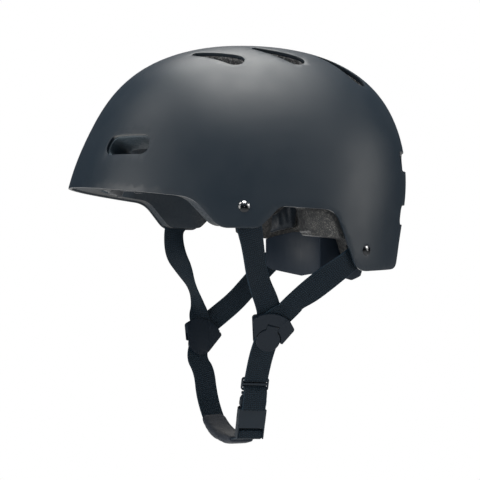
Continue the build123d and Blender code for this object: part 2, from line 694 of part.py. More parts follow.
lower_right_shares = [((-0.660, -0.0466, 0.7785), (-1, 0, -0.2)), ((-0.588, -0.0450, 0.880), (-0.95, 0, -0.3)),
                      ((-0.462, -0.0385, 0.962), (-0.75, 0, -0.66)), ((-0.325, -0.0360, 0.993), (-0.4, 0, -0.92)),
                      ((-0.120, -0.0345, 1.010), (-0.1, 0, -1)), ((0.130, -0.0300, 1.010), (0.15, 0, -1)),
                      ((0.310, -0.0250, 0.998), (0.4, 0, -0.92))]
CHIN_PAD_WIDTH = 21.6
CHIN_PAD_EDGE = 4.0
CHIN_PAD = 8.5
PAD_FROM, PAD_TO = 2, 6


def make_lower_strap_right():
    stations = [in_divider(-1, 0.0, 0.278, FRONT_LAYER), in_divider(-1, 0.0, -0.60, FRONT_LAYER)]
    stations += [(hang(*share), outward) for share, outward in lower_right_shares]
    low = BAR_Y - BAR_HEIGHT / 2 - CLEARANCE - WEB / 2
    stations += [on_buckle(low, -BAR / 2), on_buckle(low, 0)]
    strap = ribbon(stations, WEB_WIDTH, WEB)
    around = BAR / 2 + CLEARANCE
    hollow = RectangleRounded(BAR_HEIGHT + 2 * CLEARANCE, BAR + 2 * CLEARANCE, around - CLEARANCE)
    full = RectangleRounded(BAR_HEIGHT + 2 * CLEARANCE + 2 * WEB, BAR + 2 * CLEARANCE + 2 * WEB, around + WEB / 2)
    loop = extrude(Plane.YZ * (full - hollow), amount=WEB_WIDTH / 2, both=True)
    cavity = extrude(Plane.YZ * hollow, amount=WEB_WIDTH, both=True)
    plane = buckle_plane()
    return strap + plane * Pos(0, BAR_Y) * loop - plane * Pos(0, BAR_Y) * cavity


def make_chin_pad():
    """A padded sleeve, thickest in the middle, with the strap's channel through it."""
    stations = lower_right_shares[PAD_FROM:PAD_TO + 1]
    count = len(stations)
    points = [Vector(*hang(*share)) for share, _ in stations]
    sections = []
    for i, (_, outward) in enumerate(stations):
        along = (points[min(i + 1, count - 1)] - points[max(i - 1, 0)]).normalized()
        across = along.cross(Vector(*outward)).normalized()
        bulge = 1 - (2 * i / (count - 1) - 1) ** 4
        thick = CHIN_PAD_EDGE + (CHIN_PAD - CHIN_PAD_EDGE) * bulge
        plane = Plane(origin=points[i], x_dir=across, z_dir=along)
        sections.append(plane * RectangleRounded(CHIN_PAD_WIDTH, thick, thick / 2 - CLEARANCE))
    pad = loft(sections)
    channel = [(hang(*share), outward) for share, outward in lower_right_shares[PAD_FROM - 1:PAD_TO + 1]]
    end, outward = on_buckle(BAR_Y - BAR_HEIGHT, -BAR)
    return pad - ribbon(channel + [(end, outward)], WEB_WIDTH + 4 * CLEARANCE, WEB + 2 * CLEARANCE)


# Rear fit system: two cradle arms whose racks pass above and below a pinion in the dial's housing

MODULE = 0.8
TEETH = 12
PRESSURE = 20.0
PINION_RISE = 0.8
RACK_RISE = 0.55
ROOT_DROP = 1.0
BACKLASH = 0.2
RACK_BACK = 2.2
RACK_TEETH = 12
PITCH = MODULE * TEETH / 2
BOSS_RADIUS = 3.0
NOSE_RADIUS = 1.5
RUNNING = 0.05
DIAL_RANGE = 70.0
FLUTES = 16
FLUTE_RADIUS = 1.7
ARM_INSET = 34.0         # from the shell's side to where an arm runs straight forward
ARM_BEND = (WIDTH - HOUSING_WIDTH) / 2 - ARM_INSET
ARM_LOW = -26.0
ARM_HIGH = 16.0
ARM_NECK = 8.0           # how far out of the housing an arm stays as low as its rack
ARM_FLARE = 7.0
MOUTH = 0.6              # how much the housing's ends open for the arms' bend as they draw in
MOUTH_LENGTH = 7.0
CAVITY_HIGH = PITCH + ROOT_DROP + RACK_BACK + GAP
HOUSING_FACE = DIAL_Y - RACK / 2 - CLEARANCE - HOUSING_WALL
COVER_FACE = DIAL_Y + RACK / 2 + GAP
BEND_X = HOUSING_WIDTH / 2
arm_shares = [(0.70, 0.10), (0.70, 0.13), (0.98, 0.23), (1.24, 0.30), (1.52, 0.36), (1.77, 0.32),
              (1.93, 0.24), (2.20, 0.24), (2.20, -0.20), (1.93, -0.22), (1.75, -0.40), (1.50, -0.46),
              (1.24, -0.40), (0.98, -0.34), (0.84, -0.22), (0.70, -0.20)]


def pinion_outline():
    """Involute teeth, one of them straight up."""
    base = PITCH * math.cos(math.radians(PRESSURE))
    outer, root = PITCH + PINION_RISE, PITCH - ROOT_DROP

    def involute(radius):
        lean = math.acos(min(1.0, base / radius))
        return math.tan(lean) - lean

    half = math.pi / (2 * TEETH) - BACKLASH / (4 * PITCH) + involute(PITCH)
    radii = np.linspace(base, outer, 5)
    points = []
    for tooth in range(TEETH):
        middle = math.pi / 2 - 2 * math.pi * tooth / TEETH
        flank = [(radius, half - involute(radius)) for radius in radii]
        left = [(root, half)] + flank
        for radius, angle in left:
            points.append((radius * math.cos(middle + angle), radius * math.sin(middle + angle)))
        for radius, angle in reversed(left):
            points.append((radius * math.cos(middle - angle), radius * math.sin(middle - angle)))
    return make_face(Polyline(*points, close=True))


def dial_facing(y):
    """A plane across the dial's axis at that y, its z to the rear and its x to the right side."""
    return Plane(origin=(0, y, DIAL_Z), x_dir=(-1, 0, 0), z_dir=(0, 1, 0))


def make_dial_pinion():
    gear = extrude(dial_facing(DIAL_Y - RACK / 2) * pinion_outline(), amount=RACK)
    boss_end = KNOB_FACE + KNOB_DEPTH / 2
    gear += extrude(dial_facing(DIAL_Y) * Circle(BOSS_RADIUS), amount=boss_end - DIAL_Y)
    gear += extrude(dial_facing(HOUSING_FACE + HOUSING_WALL / 4) * Circle(NOSE_RADIUS), amount=HOUSING_WALL)
    return gear


def make_dial_knob():
    """A fluted knob with a dished face and a grip bar across it."""
    knob = Cylinder(KNOB_RADIUS, KNOB_DEPTH, align=(Align.CENTER, Align.CENTER, Align.MIN))
    knob = fillet(knob.edges().sort_by(Axis.Z)[-1], KNOB_DEPTH / 6)
    knob = chamfer(knob.edges().sort_by(Axis.Z)[0], KNOB_DEPTH / 10)
    for flute in range(FLUTES):
        turn = Rot(0, 0, 360 * (flute + 0.5) / FLUTES)
        knob -= turn * Pos(KNOB_RADIUS + FLUTE_RADIUS / 2) * Cylinder(FLUTE_RADIUS, 3 * KNOB_DEPTH)
    dish = Pos(0, 0, KNOB_DEPTH) * Cylinder(KNOB_RADIUS * 0.72, KNOB_DEPTH / 2)
    bar = Pos(0, 0, KNOB_DEPTH) * Box(KNOB_RADIUS * 2, KNOB_RADIUS * 0.3, KNOB_DEPTH)
    knob -= dish - bar
    knob -= Cylinder(BOSS_RADIUS + CLEARANCE / 2, KNOB_DEPTH + 2 * CLEARANCE)
    return dial_facing(KNOB_FACE) * knob


def rack_teeth():
    """A strip of teeth below z = 0, its pitch line, with a space at x = 0."""
    pitch = math.pi * MODULE
    half = pitch / 4 - BACKLASH / 4
    lean = math.tan(math.radians(PRESSURE))
    tip, root = half - RACK_RISE * lean, half + ROOT_DROP * lean
    tooth = Polygon((-root, ROOT_DROP), (-tip, -RACK_RISE), (tip, -RACK_RISE), (root, ROOT_DROP), align=None)
    places = [pitch * (i + 0.5 - RACK_TEETH / 2) for i in range(RACK_TEETH)]
    return Sketch() + [Pos(x, 0) * tooth for x in places], places


def arm_neck(side):
    """The arm's outline from behind: a low neck at the rack, above the dial's axis with side 1."""
    start, end = BEND_X - RACK, BEND_X + ARM_NECK
    near, far = PITCH + ROOT_DROP, PITCH + ROOT_DROP + RACK_BACK
    reach = BEND_X + 2 * ARM_BEND
    first, last = (ARM_LOW, ARM_HIGH) if side == 1 else (ARM_HIGH, ARM_LOW)
    corners = [(start, side * near), (end, side * near), (end + ARM_FLARE, first), (reach, first),
               (reach, last), (end + ARM_FLARE, last), (end, side * far), (start, side * far)]
    face = make_face(Polyline(*corners, close=True))
    flat = Plane(origin=(0, DIAL_Y, DIAL_Z), x_dir=(1, 0, 0), z_dir=(0, -1, 0))
    return extrude(flat * face, amount=2 * ARM_BEND, both=True)


def make_cradle_arm(side):
    """A wing round the back of the head and the straight rack at its end, the left one with side 1."""
    centre_y = DIAL_Y - ARM_BEND
    plan = Pos(BEND_X, centre_y) * (Circle(ARM_BEND + RACK / 2) - Circle(ARM_BEND - RACK / 2))
    quarter = Pos(BEND_X + ARM_BEND, centre_y + ARM_BEND) * Rectangle(2 * ARM_BEND, 2 * ARM_BEND)
    wing = extrude(Pos(0, 0, DIAL_Z + ARM_LOW) * (plan & quarter), amount=ARM_HIGH - ARM_LOW)
    corners = [(ARM_BEND * y, DIAL_Z + ARM_BEND * z) for y, z in arm_shares]
    wing &= extrude(Plane.YZ * make_face(Polyline(*corners, close=True)), amount=WIDTH, both=True)
    wing &= arm_neck(side)
    teeth, places = rack_teeth()
    end = places[0] - MODULE * math.pi / 2
    back_x = (end + BEND_X + RACK) / 2
    back = Pos(back_x, ROOT_DROP + RACK_BACK / 2) * Rectangle(BEND_X + RACK - end, RACK_BACK)
    rack = extrude(Plane(origin=(0, DIAL_Y, DIAL_Z + PITCH), x_dir=(1, 0, 0), z_dir=(0, -1, 0)) * (teeth + back),
                   amount=RACK / 2, both=True)
    if side == 1:
        return wing + rack
    return mirror(wing, about=Plane.YZ) + Pos(0, 0, 2 * DIAL_Z) * mirror(mirror(rack, about=Plane.YZ), about=Plane.XY)


def screw_places():
    return [(x, z) for x in (-SCREW_X, SCREW_X) for z in (-SCREW_Z, SCREW_Z)]


SCREW_RADIUS = 0.9
SCREW_HEAD = 1.6
SCREW_LENGTH = 3.2
SCREW_X = HOUSING_WIDTH / 2 - 2.4
SCREW_Z = (HOUSING_HEIGHT / 2 + CAVITY_HIGH) / 2
SOCKET_WIDTH = 23.0
SOCKET_HIGH = 8.0
SOCKET_WALL = 1.5


def make_dial_housing():
    """A base plate with rails above and below the racks, and a socket for the hanger on top."""
    thick = COVER_FACE - HOUSING_FACE
    plate = RectangleRounded(HOUSING_WIDTH, HOUSING_HEIGHT, HOUSING_WALL)
    body = extrude(dial_facing(HOUSING_FACE) * plate, amount=thick)
    middle = (HOUSING_FACE + HOUSING_WALL + COVER_FACE + OVERRUN) / 2
    room = COVER_FACE + OVERRUN - HOUSING_FACE - HOUSING_WALL
    body -= Pos(0, middle, DIAL_Z) * Box(2 * HOUSING_WIDTH, room, 2 * CAVITY_HIGH)
    for side in (1, -1):
        end, inner = side * HOUSING_WIDTH / 2, HOUSING_FACE + HOUSING_WALL
        corners = [(end - side * MOUTH_LENGTH, inner + CLEARANCE), (end - side * MOUTH_LENGTH, inner),
                   (end, inner - MOUTH), (end, inner + CLEARANCE)]
        flare = Pos(0, 0, DIAL_Z) * make_face(Polyline(*corners, close=True))
        body -= extrude(flare, amount=CAVITY_HIGH, both=True)
    top = DIAL_Z + HOUSING_HEIGHT / 2
    depth = HANGER + 2 * SOCKET_WALL
    socket = Pos(0, HOUSING_FACE + depth / 2, top + SOCKET_HIGH / 2) * Box(SOCKET_WIDTH, depth, SOCKET_HIGH)
    socket = fillet(socket.edges().filter_by(Axis.Y).sort_by(Axis.Z)[-2:], SOCKET_WALL)
    body += socket
    slot = Pos(0, HOUSING_FACE + depth / 2, top + SOCKET_HIGH / 2 + SOCKET_WALL)
    body -= slot * Box(HANGER_WIDTH + 2 * CLEARANCE, HANGER + 2 * CLEARANCE, SOCKET_HIGH)
    body -= dial_facing(HOUSING_FACE) * Cylinder(NOSE_RADIUS + RUNNING, 4 * HOUSING_WALL)
    for x, z in screw_places():
        body -= dial_facing(COVER_FACE) * Pos(x, z) * Cylinder(SCREW_RADIUS, 2 * (SCREW_LENGTH - COVER))
    return body


def make_dial_cover():
    plate = RectangleRounded(HOUSING_WIDTH, HOUSING_HEIGHT, HOUSING_WALL) - Circle(BOSS_RADIUS + RUNNING)
    cover = extrude(dial_facing(COVER_FACE) * plate, amount=COVER)
    for x, z in screw_places():
        cover -= dial_facing(COVER_FACE) * Pos(x, z) * Cylinder(SCREW_RADIUS + CLEARANCE, 3 * COVER)
    return cover


def make_cover_screws():
    """Small pan-head screws into the housing's rails."""
    screws = []
    low = (Align.CENTER, Align.CENTER, Align.MAX)
    for x, z in screw_places():
        head = Cylinder(SCREW_HEAD, SCREW_HEAD / 2, align=(Align.CENTER, Align.CENTER, Align.MIN))
        head = fillet(head.edges().sort_by(Axis.Z)[-1], SCREW_HEAD / 5)
        slot = Pos(0, 0, SCREW_HEAD / 2) * Box(2 * SCREW_HEAD, SCREW_HEAD / 4, SCREW_HEAD / 3)
        shank = Cylinder(SCREW_RADIUS - RUNNING, SCREW_LENGTH - CLEARANCE, align=low)
        screws.append(dial_facing(COVER_FACE + COVER) * Pos(x, z) * (head - slot + shank))
    return Compound(children=screws)


HANGER_TOP = 14.0


def make_cradle_hanger():
    """The strip that carries the housing, and the stud that plugs it into the liner."""
    socket_y = HOUSING_FACE + HANGER / 2 + SOCKET_WALL
    socket_low = DIAL_Z + HOUSING_HEIGHT / 2 + SOCKET_WALL + 2 * CLEARANCE
    stations = [(socket_y, socket_low), (socket_y, socket_low + SOCKET_HIGH)]
    for z in (-STUD_Z, STUD_Z, HANGER_TOP):
        stations.append((liner_inner_y(z) - HANGER_GAP - HANGER / 2, z))
    strip = ribbon([((0, y, z), (0, 1, 0)) for y, z in stations], HANGER_WIDTH, HANGER)
    return strip + Pos(0, -HANGER / 2, 0) * hanger_stud(STUD_RADIUS, STUD_LENGTH)


NAPE_WIDTH = 42.0
NAPE_HEIGHT = 25.0


def make_cradle_pad():
    """A pillow on the front of the housing."""
    face = HOUSING_FACE - CLEARANCE

    def pillow_skin(depth_at):
        spans = np.linspace(-1, 1, 11)
        points = [[Vector(u * NAPE_WIDTH / 2, face - depth_at(u, v), DIAL_Z + v * NAPE_HEIGHT / 2) for v in spans]
                  for u in spans]
        return Face.make_surface_from_array_of_points(points, tol=0.01, min_deg=3, max_deg=5)

    return between(pillow_skin(lambda u, v: 0),
                   pillow_skin(lambda u, v: PAD_EDGE + (PAD - PAD_EDGE) * (1 - u ** 4) * (1 - v ** 4)))


def make_all():
    parts = {"outer_shell": make_outer_shell(), "eps_liner": make_eps_liner()}
    parts["brow_pad"] = make_pad("brow_pad")
    parts["crown_pad"] = make_pad("crown_pad")
    for name in ("side_pad", "nape_pad"):
        parts[name + "_left"], parts[name + "_right"] = both_sides(make_pad(name))
    parts["pad_hooks"] = make_pad_hooks()
    parts["shell_rivets"] = make_four(rivet)
    parts["rivet_washers"] = make_four(washer)
    for side, word in ((1, "left"), (-1, "right")):
        for place in ("front", "rear"):
            parts[f"strap_{place}_{word}"] = make_anchored_strap(place, side)
        parts[f"divider_{word}"] = make_divider(side)
        parts[f"divider_lock_{word}"] = make_divider_lock(side)
        parts[f"cradle_arm_{word}"] = make_cradle_arm(side)
    parts["lower_strap_left"] = make_lower_strap_left()
    parts["lower_strap_right"] = make_lower_strap_right()
    parts["chin_pad"] = make_chin_pad()
    parts["buckle_male"] = make_buckle_male()
    parts["buckle_prong_rear"] = make_prong(1)
    parts["buckle_prong_front"] = make_prong(-1)
    parts["buckle_female"] = make_buckle_female()
    parts["dial_housing"] = make_dial_housing()
    parts["dial_cover"] = make_dial_cover()
    parts["cover_screws"] = make_cover_screws()
    parts["dial_knob"] = make_dial_knob()
    parts["dial_pinion"] = make_dial_pinion()
    parts["cradle_hanger"] = make_cradle_hanger()
    parts["cradle_pad"] = make_cradle_pad()
    return parts


if __name__ == "__main__":
    os.makedirs("parts", exist_ok=True)
    for name, shape in make_all().items():
        export_step(shape, f"parts/{name}.step")
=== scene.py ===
"""A skateboard helmet: materials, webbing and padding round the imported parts. All lengths are in metres."""

import json
import math

import bmesh
import bpy
import numpy as np
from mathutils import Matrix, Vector

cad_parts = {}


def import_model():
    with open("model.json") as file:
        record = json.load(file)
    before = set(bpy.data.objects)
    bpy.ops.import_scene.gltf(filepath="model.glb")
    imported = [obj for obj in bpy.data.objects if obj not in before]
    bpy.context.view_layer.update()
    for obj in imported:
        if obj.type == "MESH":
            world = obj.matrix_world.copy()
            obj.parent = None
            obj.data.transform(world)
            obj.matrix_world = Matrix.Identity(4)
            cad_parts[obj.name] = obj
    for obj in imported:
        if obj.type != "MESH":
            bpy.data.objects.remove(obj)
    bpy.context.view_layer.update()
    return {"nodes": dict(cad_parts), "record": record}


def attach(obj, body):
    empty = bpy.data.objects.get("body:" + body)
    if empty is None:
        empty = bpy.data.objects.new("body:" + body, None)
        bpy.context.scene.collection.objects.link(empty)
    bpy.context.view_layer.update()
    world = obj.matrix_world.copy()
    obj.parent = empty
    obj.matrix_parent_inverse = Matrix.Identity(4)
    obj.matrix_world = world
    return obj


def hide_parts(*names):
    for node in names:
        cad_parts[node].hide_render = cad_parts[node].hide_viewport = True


MM = 0.001
WELD = 0.001 * MM        # corners nearer than this are one corner

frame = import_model()
nodes = frame["nodes"]

# Driving sizes, the same as the part's own
WIDTH = 212 * MM
LENGTH = 281 * MM
STRAP_DROP = 200 * MM
WEB_WIDTH = 19 * MM
WEB = 1.4 * MM
DIVIDER_RADIUS = 21.6 * MM
DIVIDER_BASE = 1.6 * MM
CLEARANCE = 0.1 * MM
ADJUSTER_HIGH = 12.3 * MM
ADJUSTER_LOW = 1.8 * MM
ADJUSTER = 2.2 * MM
ADJUSTER_BAR = 1.8 * MM
SLOT_ROOM = 2.6 * MM
PRONG_ROOT = 1.0 * MM
LOWER_HALF = 6.8 * MM
STRAP_TAIL = 13 * MM
BAR_Y = -33.5 * MM
BAR_HEIGHT = 5.6 * MM
BAR = 3.0 * MM


# Node materials

BEADS = 600                          # cells per metre
KNIT_LOOPS = 950                     # cells per metre
BEAD_START = (-25 * MM, 5 * MM)      # front to back, from smooth skin to beads
SLOT_PAINTED_LIGHT = (-76 * MM, -98 * MM)      # front to back, towards the far end of the front slots, over which painted light lifts the shade
CROWN = (25 * MM, 70 * MM)           # heights, from no painted light to full painted light at the crown
RIM_HEIGHT = (5 * MM, -3 * MM)       # heights, from none of the rim's painted light to all of it
RIB_PITCH = 1.7 * MM
YARN_PITCH = 1.6 * MM
SELVEDGE = (1.3 * MM, 0.9 * MM)      # from the tape's edge, where its plain border starts and is full
MIX_FIRST, MIX_SECOND = 6, 7         # a Mix node's inputs and output for colours
MIX_RESULT = 2


class Shader:
    """A material's node tree, with short calls for its nodes and links."""

    def __init__(self, name):
        self.material = bpy.data.materials.new(name)
        self.material.use_nodes = True
        self.tree = self.material.node_tree
        self.surface = self.tree.nodes["Principled BSDF"]

    def node(self, kind, **inputs):
        made = self.tree.nodes.new("ShaderNode" + kind)
        for key, value in inputs.items():
            if hasattr(made, key):
                setattr(made, key, value)
            else:
                self.feed(made.inputs[key.replace("_", " ").title()], value)
        return made

    def feed(self, socket, value):
        if isinstance(value, bpy.types.NodeSocket):
            self.tree.links.new(value, socket)
        else:
            socket.default_value = value

    def set(self, **values):
        for key, value in values.items():
            name = key.replace("_", " ").title().replace("Ior", "IOR")
            self.feed(self.surface.inputs[name], value)

    def place(self):
        """Object coordinates, which are the row frame's metres."""
        return self.node("TexCoord").outputs["Object"]

    def noise(self, scale, detail=2.0, roughness=0.5):
        made = self.node("TexNoise", Scale=scale, Detail=detail, Roughness=roughness)
        self.feed(made.inputs["Vector"], self.place())
        return made.outputs["Fac"]

    def cells(self, scale, feature="F1"):
        made = self.node("TexVoronoi", feature=feature, Scale=scale)
        self.feed(made.inputs["Vector"], self.place())
        return made

    def maths(self, operation, a, b=0.5):
        made = self.node("Math", operation=operation)
        for socket, value in zip(made.inputs, (a, b)):
            self.feed(socket, value)
        return made.outputs[0]

    def spread(self, value, low, high, to_low=0.0, to_high=1.0):
        made = self.node("MapRange")
        for socket, number in zip(made.inputs, (value, low, high, to_low, to_high)):
            self.feed(socket, number)
        return made.outputs[0]

    def blend(self, factor, first, second):
        made = self.node("Mix", data_type="RGBA")
        self.feed(made.inputs["Factor"], factor)
        self.feed(made.inputs[MIX_FIRST], first)
        self.feed(made.inputs[MIX_SECOND], second)
        return made.outputs[MIX_RESULT]

    def upward(self):
        """1 on faces that look up, -1 on those that look down."""
        return self.node("SeparateXYZ", Vector=self.node("NewGeometry").outputs["Normal"]).outputs[2]

    def bump(self, height, distance, strength=1.0, normal=None):
        made = self.node("Bump", Height=height, Distance=distance, Strength=strength)
        if normal is not None:
            self.feed(made.inputs["Normal"], normal)
        return made.outputs[0]


def colour(red, green, blue):
    return (red, green, blue, 1.0)


def shell_material():
    """Matte paint: an even blue-black with a very fine texture and dull patches, with a painted highlight on
    the cut edge that faces down, as if lit from below.
    """
    s = Shader("shell_paint")
    paint = s.blend(s.noise(14, 3), colour(0.0078, 0.0165, 0.0270), colour(0.0101, 0.0190, 0.0298))
    # Painted highlight: faces that look down on the cut edge are painted pale, standing in for light from
    # below.
    cut = s.spread(s.upward(), -0.72, -0.90)
    s.set(base_color=s.blend(cut, paint, colour(0.25, 0.255, 0.26)))
    s.set(roughness=s.spread(s.noise(60, 4), 0.3, 0.7, 0.45, 0.52))
    s.set(normal=s.bump(s.noise(1800, 2), 0.02 * MM, 0.5))
    return s.material


def foam_material():
    """Moulded beads with dark joints and a smooth skin in front, with painted light: paler towards the crown,
    paler at the far end of the front slots, and a plain rim painted pale on the faces that look down.
    """
    s = Shader("bead_foam")
    beads = s.cells(BEADS)
    joints = s.cells(BEADS, "DISTANCE_TO_EDGE").outputs["Distance"]
    pale = s.spread(s.node("SeparateColor", Color=beads.outputs["Color"]).outputs[0], 0.2, 1.0)
    _, back, height = s.node("SeparateXYZ", Vector=s.place()).outputs
    # Painted light: towards the crown the beads and their joints are painted paler, as if lit from above.
    painted_crown_light = s.spread(height, *CROWN)
    beady = s.maths("MAXIMUM", s.spread(back, *BEAD_START), painted_crown_light)
    skin = s.blend(pale, colour(0.026, 0.028, 0.030), colour(0.072, 0.071, 0.068))
    crown_lit_beads = s.blend(pale, colour(0.110, 0.114, 0.120), colour(0.380, 0.385, 0.390))
    joint = s.spread(joints, 0.0, 0.12)
    gap = s.blend(painted_crown_light, colour(0.014, 0.016, 0.020), colour(0.040, 0.042, 0.045))
    beads_tone = s.blend(joint, gap, s.blend(painted_crown_light, skin, crown_lit_beads))
    smooth = s.blend(s.noise(25, 3), colour(0.009, 0.018, 0.029), colour(0.014, 0.024, 0.036))
    # Painted light: the smooth skin grows paler towards the far end of the front slots, where the lamps don't
    # reach.
    smooth = s.blend(s.spread(back, *SLOT_PAINTED_LIGHT), smooth, colour(0.100, 0.135, 0.165))
    # Plain rim on the faces that look down, painted pale: painted light from below.
    painted_rim_light = s.maths("MULTIPLY", s.spread(s.upward(), -0.75, -0.95), s.spread(height, *RIM_HEIGHT))
    s.set(base_color=s.blend(painted_rim_light, s.blend(beady, smooth, beads_tone), colour(0.045, 0.0465, 0.049)))
    s.set(roughness=s.spread(pale, 0.0, 1.0, 0.60, 0.32))
    dome = s.maths("MULTIPLY", s.spread(joints, 0.0, 0.35), beady)
    grain = s.bump(s.noise(3000, 2), 0.03 * MM, 0.5)
    s.set(normal=s.bump(dome, 0.22 * MM, 0.7, grain))
    return s.material


def webbing_material():
    """Woven nylon tape: fine ribs across in a twill step, warp lines along, and plain selvedges."""
    s = Shader("webbing")
    place = s.node("Attribute", attribute_name="weave").outputs["Vector"]
    across, along, _ = s.node("SeparateXYZ", Vector=place).outputs
    lane = s.maths("MULTIPLY", across, 1 / YARN_PITCH)
    step = s.maths("MULTIPLY", s.maths("FRACT", s.maths("MULTIPLY", s.maths("FLOOR", lane), 0.5)), math.pi)
    ribs = s.maths("SINE", s.maths("ADD", s.maths("MULTIPLY", along, 2 * math.pi / RIB_PITCH), step))
    yarns = s.maths("ABSOLUTE", s.maths("SINE", s.maths("MULTIPLY", lane, math.pi)))
    weave = s.maths("MULTIPLY", s.maths("ADD", s.maths("MULTIPLY", ribs, 0.5), 0.5), yarns)
    edge = s.spread(s.maths("ABSOLUTE", across), *[WEB_WIDTH / 2 - margin for margin in SELVEDGE])
    weave = s.maths("MAXIMUM", weave, s.maths("MULTIPLY", edge, 0.7))
    fuzz = s.noise(2500, 3)
    tone = s.maths("ADD", s.maths("MULTIPLY", weave, 0.8), s.maths("MULTIPLY", fuzz, 0.2))
    s.set(base_color=s.blend(tone, colour(0.0012, 0.0040, 0.0072), colour(0.0085, 0.0250, 0.043)))
    s.set(roughness=0.6, sheen_weight=0.04, sheen_roughness=0.4, specular_ior_level=0.2)
    s.set(normal=s.bump(weave, 0.35 * MM, 0.9, s.bump(fuzz, 0.03 * MM, 0.4)))
    return s.material


def plastic_material(name, dark, light, roughness, grain):
    """Moulded plastic with a fine spark-eroded grain and slightly worn, shinier patches."""
    s = Shader(name)
    s.set(base_color=s.blend(s.noise(40, 3), colour(*dark), colour(*light)))
    s.set(roughness=s.spread(s.noise(90, 4), 0.3, 0.7, roughness - 0.05, roughness + 0.06))
    s.set(specular_ior_level=0.3, normal=s.bump(s.noise(2600, 2), 0.02 * MM, grain))
    return s.material


def knit_material(name, dark, light, sheen, roughness):
    """Brushed knit or hook tape: small loops with a soft nap."""
    s = Shader(name)
    loops = s.cells(KNIT_LOOPS)
    loop = s.spread(loops.outputs["Distance"], 0.0, 0.7)
    nap = s.noise(1400, 4, 0.7)
    tone = s.maths("MULTIPLY", s.maths("SUBTRACT", 1.0, loop), nap)
    s.set(base_color=s.blend(s.spread(tone, 0.1, 0.6), colour(*dark), colour(*light)))
    s.set(roughness=roughness, sheen_weight=sheen, sheen_roughness=0.4, specular_ior_level=0.3)
    s.set(normal=s.bump(tone, 0.12 * MM, 0.7))
    return s.material


def metal_material(name, bright, roughness):
    """Bright metal, with a painted dark reflection on the faces that look down."""
    s = Shader(name)
    # Painted reflection: faces that look down are painted dark, as if they mirror a dark room below.
    painted_dark_reflection = colour(0.05, 0.052, 0.055)
    s.set(base_color=s.blend(s.spread(s.upward(), 0.1, 0.4), painted_dark_reflection, colour(*bright)), metallic=1.0)
    s.set(roughness=s.spread(s.noise(500, 4), 0.3, 0.7, roughness - 0.04, roughness + 0.05))
    return s.material


# Name, dark tone, light tone, roughness and grain
PLASTICS = {
    "divider": ("divider_plastic", (0.0025, 0.0080, 0.0160), (0.0045, 0.0105, 0.0195), 0.42, 0.4),
    "buckle": ("buckle_plastic", (0.0068, 0.0135, 0.0225), (0.0100, 0.0185, 0.0285), 0.35, 0.4),
    "cradle": ("cradle_plastic", (0.010, 0.018, 0.031), (0.015, 0.024, 0.038), 0.5, 0.4),
    "knob": ("knob_rubber", (0.012, 0.012, 0.013), (0.018, 0.018, 0.019), 0.65, 0.8),
}
# Name, dark tone, light tone, sheen and roughness
KNITS = {
    "hook": ("hook_tape", (0.006, 0.006, 0.007), (0.020, 0.020, 0.022), 0.1, 0.8),
    "pad": ("comfort_knit", (0.008, 0.013, 0.020), (0.036, 0.048, 0.062), 0.5, 0.42),
    "chin_pad": ("chin_knit", (0.007, 0.012, 0.022), (0.022, 0.036, 0.058), 0.2, 0.8),
}
# Name, tone and roughness
METALS = {
    "rivet": ("rivet_steel", (0.50, 0.50, 0.51), 0.16),
    "washer": ("washer_steel", (0.55, 0.55, 0.55), 0.35),
    "screw": ("screw_zinc", (0.45, 0.45, 0.44), 0.35),
}

materials = {"shell": shell_material(), "foam": foam_material(), "webbing": webbing_material()}
for finishes, make in ((PLASTICS, plastic_material), (KNITS, knit_material), (METALS, metal_material)):
    for slot, values in finishes.items():
        materials[slot] = make(*values)


def dress(piece, slot):
    """Gives a piece the material for its slot."""
    piece.data.materials.clear()
    piece.data.materials.append(materials[slot])


slot_of = {part["node"]: part["material_slot"] for part in frame["record"]["subparts"]}
for name, piece in nodes.items():
    dress(piece, slot_of[name])


# Softened edges of the moulded and formed parts

ROUNDED_FROM = math.radians(40)


def soften(name, width):
    """A small round along the sharp edges of a rigid part."""
    piece = nodes[name]
    weld = piece.modifiers.new("weld", "WELD")
    weld.merge_threshold = WELD
    bevel = piece.modifiers.new("round", "BEVEL")
    bevel.width = width
    bevel.segments = 2
    bevel.limit_method = "ANGLE"
    bevel.angle_limit = ROUNDED_FROM
    bevel.harden_normals = True


soften("outer_shell", 0.6 * MM)
for name in ("divider_left", "divider_right", "divider_lock_left", "divider_lock_right"):
    soften(name, 0.5 * MM)
for name in ("buckle_male", "buckle_female", "buckle_prong_front", "buckle_prong_rear", "cradle_arm_left",
             "cradle_arm_right"):
    soften(name, 0.3 * MM)


# Flat webbing


def leaning_plane(place, up, side):
    """Origin, x, y and z of a plane: y up along the strap, z outwards, x rearwards on the left side."""
    y = Vector(up).normalized()
    z = Vector((side, 0, 0))
    z = (z - y * z.dot(y)).normalized()
    return Vector(place), y.cross(z), y, z


def hang(x_share, y_share, drop_share):
    """A point as shares of half the width, of the length and of the straps' drop."""
    return Vector((WIDTH / 2 * x_share, LENGTH * y_share, -STRAP_DROP * drop_share))


# The planes of the dividers, by side, and of the buckle
DIVIDERS = {1: leaning_plane(hang(0.660, 0.006, 0.581), (0.33, 0.25, 0.92), 1),
            -1: leaning_plane(hang(-0.708, -0.0534, 0.66), (-0.30, 0.34, 0.89), -1)}
BUCKLE = leaning_plane(hang(0.528, -0.0153, 0.801), (0.204, 0.054, 0.977), 1)
FRONT_LAYER = DIVIDER_BASE + CLEARANCE + WEB / 2
LAYERS = {"front": FRONT_LAYER, "rear": FRONT_LAYER + WEB + CLEARANCE}
UNDER_STATIONS = 4                   # points of a strap's edge that lie inside the shell
STRAP_CORNER = math.radians(55)      # sharper edges than this are followed along a strap
